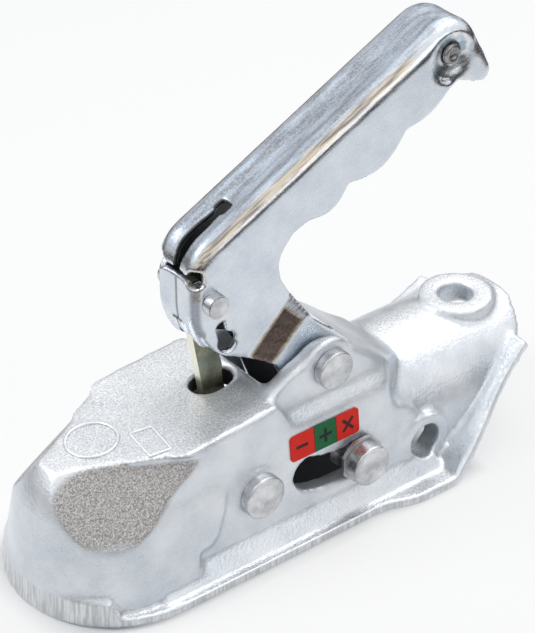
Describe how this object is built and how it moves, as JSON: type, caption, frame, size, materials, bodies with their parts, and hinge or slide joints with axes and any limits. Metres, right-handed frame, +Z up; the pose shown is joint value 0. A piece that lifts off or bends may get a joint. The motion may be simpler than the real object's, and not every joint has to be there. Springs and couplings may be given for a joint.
{
  "type": "trailer coupling head",
  "caption": "Cast ball coupling head with a lifting hand lever, a sprung ball jaw, a safety catch and a round drawbar saddle.",
  "frame": {"origin": "centre of the towing ball", "axes": "+X runs back along the drawbar, +Z is up, the indicator side faces -Y"},
  "size_m": [0.2352, 0.0988, 0.1831],
  "materials": {
    "cast_zinc": "rough casting, bright zinc plated",
    "jaw_zinc": "casting, zinc plated",
    "sheet_zinc": "pressed sheet, bright zinc plated",
    "pin_steel": "satin, zinc plated",
    "dark_steel": "dull steel",
    "spring_steel": "drawn spring wire",
    "yellow_zinc": "pale yellow passivated",
    "label_red": "printed film"
  },
  "bodies": {
    "body": {"housing": "cast_zinc", "handle_pin": "pin_steel", "handle_pin_ring": "pin_steel", "jaw_pin": "pin_steel", "jaw_pin_ring": "pin_steel", "jaw_washers": "dark_steel", "indicator_label": "label_red"},
    "lever": {"handle": "sheet_zinc", "grip_rivet": "pin_steel", "grip_spacer": "pin_steel", "pivot_sleeve": "dark_steel", "indicator_bolt": "pin_steel", "collar_near": "dark_steel", "collar_far": "dark_steel", "bolt_sleeves": "dark_steel", "bolt_ring": "pin_steel", "catch_pin": "pin_steel", "catch_spacers": "dark_steel", "catch_spring": "spring_steel"},
    "jaw": {"ball_jaw": "jaw_zinc"},
    "rod": {"spring_rod": "dark_steel", "pressure_spring": "spring_steel"},
    "safety_catch": {"catch": "yellow_zinc"},
    "seat": {"spring_cup": "dark_steel"}
  },
  "joints": [
    {"name": "lever_lift", "type": "hinge", "parent": "body", "child": "lever", "pos_m": [0.088, 0, 0.042], "axis": [0, 1, 0], "range_deg": [0, 33]},
    {"name": "jaw_swing", "type": "hinge", "parent": "body", "child": "jaw", "pos_m": [0.0483, 0, 0.005], "axis": [0, 1, 0], "range_deg": [0, 19.8]},
    {"name": "rod_swing", "type": "hinge", "parent": "lever", "child": "rod", "pos_m": [0.09638, 0, 0.00044], "axis": [0, 1, 0], "range_deg": [-43, 1]},
    {"name": "seat_slide", "type": "slide", "parent": "rod", "child": "seat", "axis": [0.9519, 0, 0.3065], "range_m": [0, 0.0168], "deforming": ["pressure_spring"]},
    {"name": "catch_swing", "type": "hinge", "parent": "lever", "child": "safety_catch", "pos_m": [0.043, 0, 0.082], "axis": [0, 1, 0], "range_deg": [-2.2, 2], "stiffness_Nm_per_rad": 0.6}
  ],
  "couplings": [
    {"joint": "jaw_swing", "follows": "lever_lift", "ratio": 0.6},
    {"joint": "rod_swing", "follows": "lever_lift", "ratio": -1.29},
    {"joint": "seat_slide", "follows": "lever_lift", "m_per_rad": 0.028648}
  ]
}
